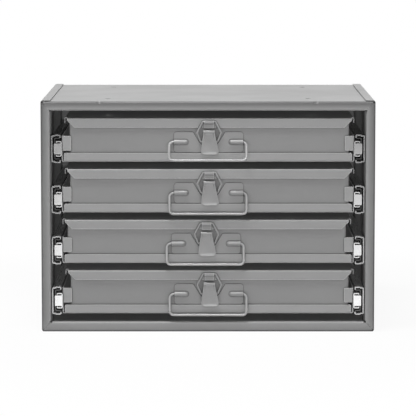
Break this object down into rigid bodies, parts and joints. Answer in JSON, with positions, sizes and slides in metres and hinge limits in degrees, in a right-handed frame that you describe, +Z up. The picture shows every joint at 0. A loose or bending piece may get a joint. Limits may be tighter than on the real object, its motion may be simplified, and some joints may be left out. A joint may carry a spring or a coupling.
{
  "type": "drawer rack with compartment boxes",
  "caption": "Open-front sheet-steel rack whose drawers run on ball-bearing slides, each carrying a lidded compartment box with a draw latch and bail handle.",
  "frame": {"origin": "centre of the rack's underside, in the plane that it stands on", "axes": "+X to the right seen from the front, +Y to the back, +Z up; drawers open along -Y"},
  "size_m": [0.3874, 0.3105, 0.2699],
  "materials": {
    "rack_paint": "satin grey baked enamel",
    "carrier_paint": "satin grey baked enamel",
    "box_paint": "satin grey baked enamel",
    "latch_paint": "satin grey baked enamel",
    "zinc_plate": "clear zinc plating",
    "cage_steel": "bright rolled strip with polished balls",
    "screw_steel": "zinc plated"
  },
  "bodies": {
    "rack": {"shell_wrap": "rack_paint", "top_panel": "rack_paint", "back_panel": "rack_paint", "slide_uprights": "rack_paint", "slide_outer_members": "zinc_plate", "slide_screws": "screw_steel"},
    "drawer_1": {"slide_inner_members_1": "zinc_plate", "drawer_carrier_1": "carrier_paint", "box_tray_1": "box_paint", "box_dividers_1": "box_paint", "box_lid_1": "box_paint", "lid_hinge_pin_1": "screw_steel", "latch_plate_1": "latch_paint"},
    "slide_middle_1": {"slide_middle_members_1": "zinc_plate"},
    "outer_cage_1": {"outer_ball_cages_1": "cage_steel"},
    "inner_cage_1": {"inner_ball_cages_1": "cage_steel"},
    "lever_1": {"latch_lever_1": "latch_paint"},
    "loop_1": {"latch_loop_1": "latch_paint"},
    "bail_1": {"handle_bail_1": "latch_paint"},
    "drawer_2": {"slide_inner_members_2": "zinc_plate", "drawer_carrier_2": "carrier_paint", "box_tray_2": "box_paint", "box_dividers_2": "box_paint", "box_lid_2": "box_paint", "lid_hinge_pin_2": "screw_steel", "latch_plate_2": "latch_paint"},
    "slide_middle_2": {"slide_middle_members_2": "zinc_plate"},
    "outer_cage_2": {"outer_ball_cages_2": "cage_steel"},
    "inner_cage_2": {"inner_ball_cages_2": "cage_steel"},
    "lever_2": {"latch_lever_2": "latch_paint"},
    "loop_2": {"latch_loop_2": "latch_paint"},
    "bail_2": {"handle_bail_2": "latch_paint"},
    "drawer_3": {"slide_inner_members_3": "zinc_plate", "drawer_carrier_3": "carrier_paint", "box_tray_3": "box_paint", "box_dividers_3": "box_paint", "box_lid_3": "box_paint", "lid_hinge_pin_3": "screw_steel", "latch_plate_3": "latch_paint"},
    "slide_middle_3": {"slide_middle_members_3": "zinc_plate"},
    "outer_cage_3": {"outer_ball_cages_3": "cage_steel"},
    "inner_cage_3": {"inner_ball_cages_3": "cage_steel"},
    "lever_3": {"latch_lever_3": "latch_paint"},
    "loop_3": {"latch_loop_3": "latch_paint"},
    "bail_3": {"handle_bail_3": "latch_paint"},
    "drawer_4": {"slide_inner_members_4": "zinc_plate", "drawer_carrier_4": "carrier_paint", "box_tray_4": "box_paint", "box_dividers_4": "box_paint", "box_lid_4": "box_paint", "lid_hinge_pin_4": "screw_steel", "latch_plate_4": "latch_paint"},
    "slide_middle_4": {"slide_middle_members_4": "zinc_plate"},
    "outer_cage_4": {"outer_ball_cages_4": "cage_steel"},
    "inner_cage_4": {"inner_ball_cages_4": "cage_steel"},
    "lever_4": {"latch_lever_4": "latch_paint"},
    "loop_4": {"latch_loop_4": "latch_paint"},
    "bail_4": {"handle_bail_4": "latch_paint"}
  },
  "joints": [
    {"name": "drawer_slide_1", "type": "slide", "parent": "rack", "child": "drawer_1", "axis": [0, -1, 0], "range_m": [0, 0.254]},
    {"name": "slide_middle_travel_1", "type": "slide", "parent": "rack", "child": "slide_middle_1", "axis": [0, -1, 0], "range_m": [0, 0.127]},
    {"name": "outer_cage_travel_1", "type": "slide", "parent": "rack", "child": "outer_cage_1", "axis": [0, -1, 0], "range_m": [0, 0.0635]},
    {"name": "inner_cage_travel_1", "type": "slide", "parent": "rack", "child": "inner_cage_1", "axis": [0, -1, 0], "range_m": [0, 0.1905]},
    {"name": "latch_lever_turn_1", "type": "hinge", "parent": "drawer_1", "child": "lever_1", "pos_m": [0.00125, -0.14763, 0.2335], "axis": [-1, 0, 0], "range_deg": [0, 95]},
    {"name": "latch_loop_turn_1", "type": "hinge", "parent": "lever_1", "child": "loop_1", "pos_m": [0.00125, -0.14633, 0.2219], "axis": [-1, 0, 0], "range_deg": [-55.7, 0]},
    {"name": "bail_turn_1", "type": "hinge", "parent": "drawer_1", "child": "bail_1", "pos_m": [0.00125, -0.14602, 0.2215], "axis": [-1, 0, 0], "range_deg": [-26, 69]},
    {"name": "drawer_slide_2", "type": "slide", "parent": "rack", "child": "drawer_2", "axis": [0, -1, 0], "range_m": [0, 0.254]},
    {"name": "slide_middle_travel_2", "type": "slide", "parent": "rack", "child": "slide_middle_2", "axis": [0, -1, 0], "range_m": [0, 0.127]},
    {"name": "outer_cage_travel_2", "type": "slide", "parent": "rack", "child": "outer_cage_2", "axis": [0, -1, 0], "range_m": [0, 0.0635]},
    {"name": "inner_cage_travel_2", "type": "slide", "parent": "rack", "child": "inner_cage_2", "axis": [0, -1, 0], "range_m": [0, 0.1905]},
    {"name": "latch_lever_turn_2", "type": "hinge", "parent": "drawer_2", "child": "lever_2", "pos_m": [0.0015, -0.14763, 0.1743], "axis": [-1, 0, 0], "range_deg": [0, 95]},
    {"name": "latch_loop_turn_2", "type": "hinge", "parent": "lever_2", "child": "loop_2", "pos_m": [0.0015, -0.14633, 0.1627], "axis": [-1, 0, 0], "range_deg": [-55.7, 0]},
    {"name": "bail_turn_2", "type": "hinge", "parent": "drawer_2", "child": "bail_2", "pos_m": [0.0015, -0.14602, 0.1623], "axis": [-1, 0, 0], "range_deg": [0, 95]},
    {"name": "drawer_slide_3", "type": "slide", "parent": "rack", "child": "drawer_3", "axis": [0, -1, 0], "range_m": [0, 0.254]},
    {"name": "slide_middle_travel_3", "type": "slide", "parent": "rack", "child": "slide_middle_3", "axis": [0, -1, 0], "range_m": [0, 0.127]},
    {"name": "outer_cage_travel_3", "type": "slide", "parent": "rack", "child": "outer_cage_3", "axis": [0, -1, 0], "range_m": [0, 0.0635]},
    {"name": "inner_cage_travel_3", "type": "slide", "parent": "rack", "child": "inner_cage_3", "axis": [0, -1, 0], "range_m": [0, 0.1905]},
    {"name": "latch_lever_turn_3", "type": "hinge", "parent": "drawer_3", "child": "lever_3", "pos_m": [-0.0017, -0.14763, 0.1151], "axis": [-1, 0, 0], "range_deg": [0, 95]},
    {"name": "latch_loop_turn_3", "type": "hinge", "parent": "lever_3", "child": "loop_3", "pos_m": [-0.0017, -0.14633, 0.1035], "axis": [-1, 0, 0], "range_deg": [-55.7, 0]},
    {"name": "bail_turn_3", "type": "hinge", "parent": "drawer_3", "child": "bail_3", "pos_m": [-0.0017, -0.14602, 0.1031], "axis": [-1, 0, 0], "range_deg": [0, 95]},
    {"name": "drawer_slide_4", "type": "slide", "parent": "rack", "child": "drawer_4", "axis": [0, -1, 0], "range_m": [0, 0.254]},
    {"name": "slide_middle_travel_4", "type": "slide", "parent": "rack", "child": "slide_middle_4", "axis": [0, -1, 0], "range_m": [0, 0.127]},
    {"name": "outer_cage_travel_4", "type": "slide", "parent": "rack", "child": "outer_cage_4", "axis": [0, -1, 0], "range_m": [0, 0.0635]},
    {"name": "inner_cage_travel_4", "type": "slide", "parent": "rack", "child": "inner_cage_4", "axis": [0, -1, 0], "range_m": [0, 0.1905]},
    {"name": "latch_lever_turn_4", "type": "hinge", "parent": "drawer_4", "child": "lever_4", "pos_m": [0.0016, -0.14763, 0.0559], "axis": [-1, 0, 0], "range_deg": [0, 95]},
    {"name": "latch_loop_turn_4", "type": "hinge", "parent": "lever_4", "child": "loop_4", "pos_m": [0.0016, -0.14633, 0.0443], "axis": [-1, 0, 0], "range_deg": [-55.7, 0]},
    {"name": "bail_turn_4", "type": "hinge", "parent": "drawer_4", "child": "bail_4", "pos_m": [0.0016, -0.14602, 0.0439], "axis": [-1, 0, 0], "range_deg": [0, 95]}
  ],
  "couplings": [
    {"joint": "slide_middle_travel_1", "follows": "drawer_slide_1", "ratio": 0.5},
    {"joint": "outer_cage_travel_1", "follows": "drawer_slide_1", "ratio": 0.25},
    {"joint": "inner_cage_travel_1", "follows": "drawer_slide_1", "ratio": 0.75},
    {"joint": "latch_loop_turn_1", "follows": "latch_lever_turn_1", "ratio": -0.585},
    {"joint": "slide_middle_travel_2", "follows": "drawer_slide_2", "ratio": 0.5},
    {"joint": "outer_cage_travel_2", "follows": "drawer_slide_2", "ratio": 0.25},
    {"joint": "inner_cage_travel_2", "follows": "drawer_slide_2", "ratio": 0.75},
    {"joint": "latch_loop_turn_2", "follows": "latch_lever_turn_2", "ratio": -0.585},
    {"joint": "slide_middle_travel_3", "follows": "drawer_slide_3", "ratio": 0.5},
    {"joint": "outer_cage_travel_3", "follows": "drawer_slide_3", "ratio": 0.25},
    {"joint": "inner_cage_travel_3", "follows": "drawer_slide_3", "ratio": 0.75},
    {"joint": "latch_loop_turn_3", "follows": "latch_lever_turn_3", "ratio": -0.585},
    {"joint": "slide_middle_travel_4", "follows": "drawer_slide_4", "ratio": 0.5},
    {"joint": "outer_cage_travel_4", "follows": "drawer_slide_4", "ratio": 0.25},
    {"joint": "inner_cage_travel_4", "follows": "drawer_slide_4", "ratio": 0.75},
    {"joint": "latch_loop_turn_4", "follows": "latch_lever_turn_4", "ratio": -0.585}
  ]
}
